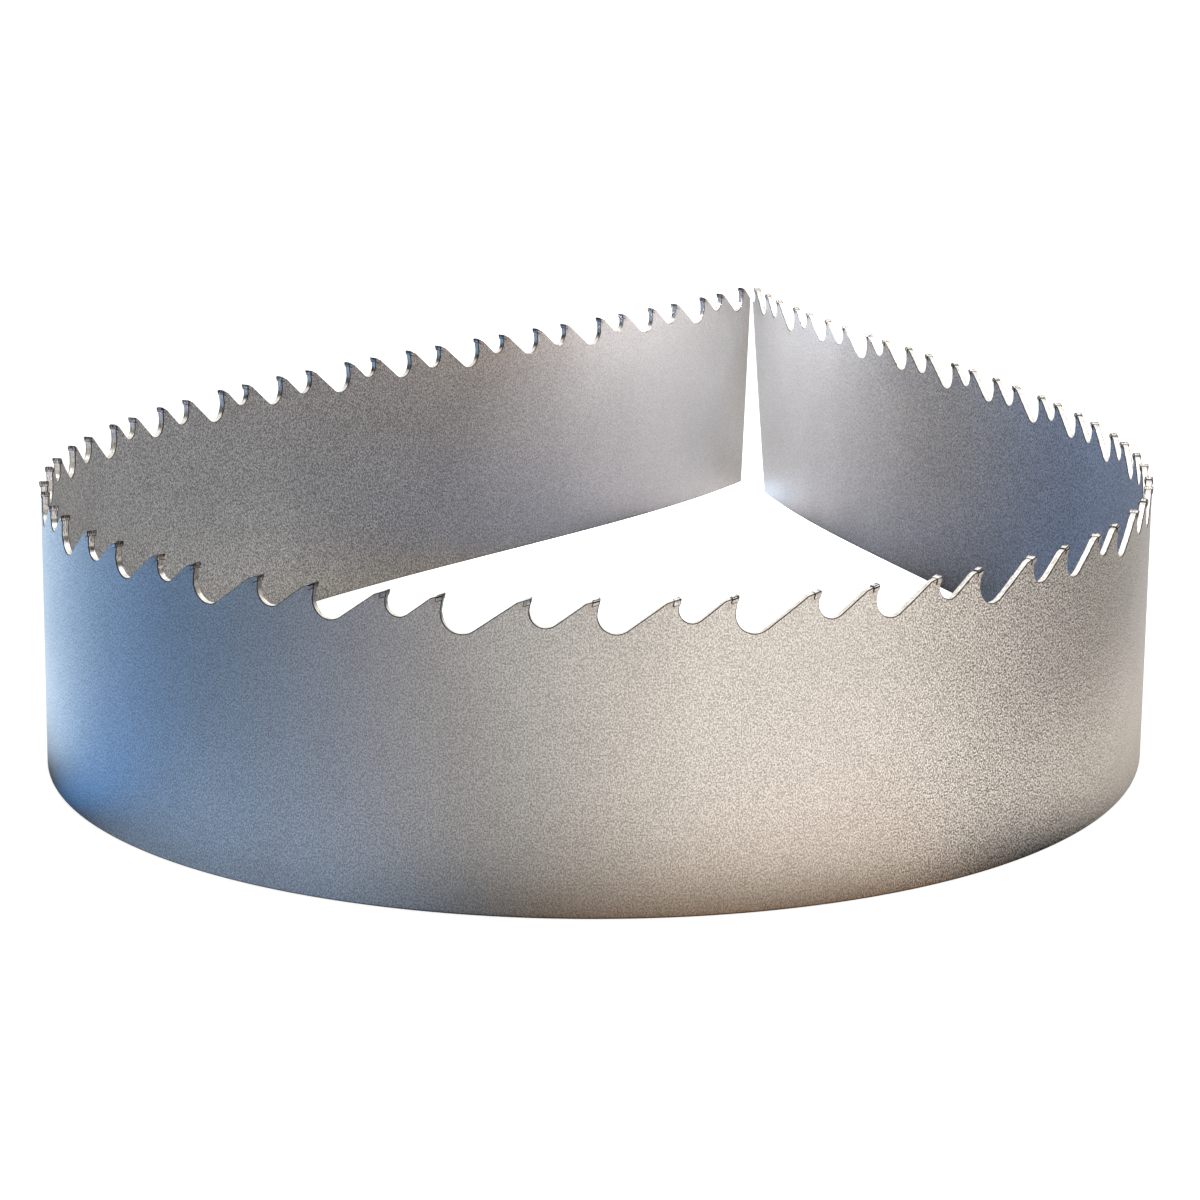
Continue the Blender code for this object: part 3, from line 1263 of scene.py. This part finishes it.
@dataclass(frozen=True)
class Studio:
    """Floor, surround and lamps."""

    panels: tuple[SoftPanel, ...] = (
        SoftPanel(180.0, (0.30, 0.25, 0.10)),
        SoftPanel(-150.0, (0.19, 0.21, 0.33)),
        SoftPanel(-90.0, (0.14, 0.26, 0.35)),
        SoftPanel(-60.0, (0.0, 0.03, 0.29)),
        SoftPanel(-30.0, (0.64, 0.96, 1.13)),
        SoftPanel(-35.0, (0.40, 0.38, 0.34), 22.0),
        SoftPanel(0.0, (0.85, 0.80, 0.82)),
        SoftPanel(60.0, (0.12, 0.11, 0.06)),
        SoftPanel(90.0, (0.46, 0.41, 0.45)),
        SoftPanel(120.0, (0.92, 0.83, 0.64)),
        SoftPanel(150.0, (0.61, 0.60, 0.68)),
        SoftPanel(180.0, (0.60, 0.57, 0.50), 50.0, 6.0, 45.0),
        SoftPanel(0.0, (1.08, 1.02, 0.94), 100.0, 6.0, 50.0),
        SoftPanel(0.0, (1.05, 1.02, 0.98), 180.0, 50.0, 90.0),
    )
    glows: tuple[FloorGlow, ...] = (
        FloorGlow((0.0, -0.14), (0.12, 0.10), 0.3, (0.35, 0.34, 0.33)),
        FloorGlow((0.0, 0.0), (0.12, 0.10), 0.3, (0.62, 0.65, 0.65)),
        FloorGlow((0.0, 0.11), (0.08, 0.09), 0.3, (0.24, 0.27, 0.37)),
        FloorGlow((-0.085, 0.05), (0.06, 0.16), 0.0, (0.40, 0.36, 0.32)),
        FloorGlow((0.0, 0.20), (0.04, 0.06), 0.3, (0.53, 0.49, 0.52)),
        FloorGlow((0.0, 0.34), (0.12, 0.10), 0.3, (0.50, 0.52, 0.60)),
        FloorGlow((0.09, 0.02), (0.05, 0.08), 0.2, (0.22, 0.30, 0.42)),
        FloorGlow((-0.145, -0.12), (0.03, 0.05), 0.3, (0.55, 0.66, 0.76)),
        FloorGlow((-0.13, -0.185), (0.03, 0.03), 0.3, (0.0, 0.20, 0.60)),
        FloorGlow((-0.17, -0.08), (0.05, 0.06), 0.2, (0.60, 0.62, 0.62)),
        FloorGlow((-0.18, -0.17), (0.06, 0.05), 0.2, (0.0, 0.04, 0.20)),
        FloorGlow((-0.08, -0.24), (0.10, 0.07), 0.3, (0.27, 0.36, 0.51)),
        FloorGlow((0.08, -0.24), (0.10, 0.07), 0.3, (0.30, 0.18, 0.10)),
        FloorGlow((0.16, -0.08), (0.06, 0.17), 0.3, (0.74, 0.65, 0.57)),
    )
    lamps: tuple[StudioLamp, ...] = (
        StudioLamp("overhead_lamp", (0.2, -0.1, 1.6), (0.0, 0.0, 0.0), 1.4, 6.0),
        StudioLamp("corner_lamp", (0.0, 0.16, 0.12), (0.0, 0.19, 0.03), 0.05, 0.36, (0.86, 0.90, 1.0), 2.3),
        StudioLamp("warm_lamp", (0.05, 0.16, 0.13), (-0.03, 0.17, 0.05), 0.05, 0.06, (1.0, 0.6, 0.3), 2.0),
    )
    dark_floor: FloorGlow = FloorGlow((0.0, -0.03), (0.18, 0.27), 0.8, (0.0, 0.0, 0.0))
    floor_tone: Color = (0.8, 0.8, 0.8)
    floor_radius: float = 12.0
    floor_light: float = 0.62
    white_start: float = 0.3
    white_end: float = 0.9

    def light_surround(self) -> None:
        """Make the world: white to the camera, and the soft panels to the metal."""
        world = bpy.data.worlds.new("studio_surround")
        world.use_nodes = True
        bpy.context.scene.world = world
        nodes = Nodes(world.node_tree)
        way = nodes.add("TexCoord").outputs["Generated"]
        level = nodes.vector("NORMALIZE", nodes.vector("MULTIPLY", way, (1.0, 1.0, 0.0)))
        rise = nodes.vector("DOT_PRODUCT", way, (0.0, 0.0, 1.0))
        light: object = (0.0, 0.0, 0.0)
        for panel in self.panels:
            light = nodes.vector("ADD", light, nodes.scale(panel.color, panel.mask(nodes, level, rise)))
        camera = nodes.add("LightPath").outputs["Is Camera Ray"]
        background = world.node_tree.nodes["Background"]
        nodes.feed(background.inputs["Color"], nodes.blend(camera, light, WHITE))

    def make_floor(self) -> Material:
        """Build the floor's pale finish, which metal sees through but for its soft patches.

        Returns:
            The finished material.
        """
        material = bpy.data.materials.new("pale_floor")
        material.use_nodes = True
        nodes = Nodes(material.node_tree)
        shader = material.node_tree.nodes["Principled BSDF"]
        nodes.feed(shader.inputs["Base Color"], self.floor_tone)
        shader.inputs["Roughness"].default_value = 1.0
        shader.inputs["Specular IOR Level"].default_value = 0.0
        shader.inputs["Emission Strength"].default_value = 1.0
        path = nodes.add("LightPath")
        place = nodes.add("TexCoord").outputs["Object"]
        away = nodes.vector("LENGTH", place)
        bright = nodes.ramp(away, self.white_start, self.white_end, self.floor_light, 1.0)
        bright = nodes.math("MULTIPLY", path.outputs["Is Camera Ray"], bright)
        nodes.feed(shader.inputs["Emission Color"], nodes.scale(WHITE, bright))
        light: object = (0.0, 0.0, 0.0)
        for glow in self.glows:
            light = nodes.vector("ADD", light, nodes.scale(glow.color, glow.mask(nodes, place)))
        clear = nodes.blend(self.dark_floor.mask(nodes, place), WHITE, self.dark_floor.color)
        patches = nodes.add("Emission", light).outputs[0]
        seen = nodes.add("AddShader", patches, nodes.add("BsdfTransparent", clear).outputs[0]).outputs[0]
        choice = nodes.add("MixShader", path.outputs["Is Glossy Ray"], shader.outputs[0], seen)
        nodes.feed(material.node_tree.nodes["Material Output"].inputs["Surface"], choice.outputs[0])
        return material

    def add_floor(self) -> None:
        """Lay a wide, pale floor that keeps the blade's shadow."""
        bpy.ops.object.select_all(action="DESELECT")
        bpy.ops.mesh.primitive_circle_add(vertices=96, radius=self.floor_radius, fill_type="NGON")
        floor = bpy.context.active_object
        floor.name = "floor"
        floor.data.materials.append(self.make_floor())

    def add_lamp(self, lamp: StudioLamp) -> None:
        """Hang a lamp.

        Args:
            lamp: The lamp.
        """
        light = bpy.data.lights.new(lamp.name, "AREA")
        light.size = lamp.size
        light.energy = lamp.power
        light.color = lamp.color
        light.spread = lamp.beam
        holder = bpy.data.objects.new(lamp.name, light)
        holder.location = lamp.place
        holder.rotation_euler = (Vector(lamp.place) - Vector(lamp.aim)).to_track_quat("Z", "Y").to_euler()
        holder.visible_camera = False
        bpy.context.scene.collection.objects.link(holder)

    def build(self) -> None:
        """Build the whole studio."""
        self.light_surround()
        self.add_floor()
        for lamp in self.lamps:
            self.add_lamp(lamp)


@dataclass(frozen=True)
class PhotoCamera:
    """The camera at the photograph's place."""

    nose: Vector
    from_nose: tuple[float, float, float] = (122.43 * MM, -658.10 * MM, 218.11 * MM)
    yaw: float = 0.150364
    pitch: float = 0.223267
    roll: float = 0.010546
    lens: float = 102.985
    sensor_width: float = 36.0
    clip: tuple[float, float] = (0.01, 100.0)

    def add(self) -> None:
        """Add the camera and look through it."""
        data = bpy.data.cameras.new("photo_camera")
        data.lens = self.lens
        data.sensor_width = self.sensor_width
        data.clip_start, data.clip_end = self.clip
        camera = bpy.data.objects.new("photo_camera", data)
        turn = (
            Matrix.Rotation(self.yaw, 4, "Z")
            @ Matrix.Rotation(math.pi / 2 - self.pitch, 4, "X")
            @ Matrix.Rotation(self.roll, 4, "Z")
        )
        camera.matrix_world = Matrix.Translation(self.nose + Vector(self.from_nose)) @ turn
        bpy.context.scene.collection.objects.link(camera)
        bpy.context.scene.camera = camera


def report(piece: Piece) -> None:
    """Log a finished piece and its count of triangles."""
    triangles = sum(len(face.vertices) - 2 for face in piece.data.polygons)
    LOG.info("%s: %d triangles", piece.name, triangles)


def main() -> None:
    """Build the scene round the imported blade."""
    logging.basicConfig(level=logging.INFO)
    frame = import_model()
    nose = Vector(frame["record"]["mounts"][0]["pos_m"])
    spacing = ToothSpacing()
    profile = ToothProfile()
    effects = Effects(spacing, profile)
    guide = LoopGuide(spacing.length, profile.thickness, nose)
    band = ToothedBand(spacing, profile, guide, effects).model()
    tips = CarbideTips(spacing, profile, guide, effects).model()
    for piece, slot in ((band, "band_steel"), (tips, "carbide")):
        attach(piece, "root")
        report(piece)
    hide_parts("toothed_band")
    Studio().build()
    PhotoCamera(nose).add()
    bpy.context.scene.view_settings.view_transform = "Standard"


if __name__ == "__main__":
    main()
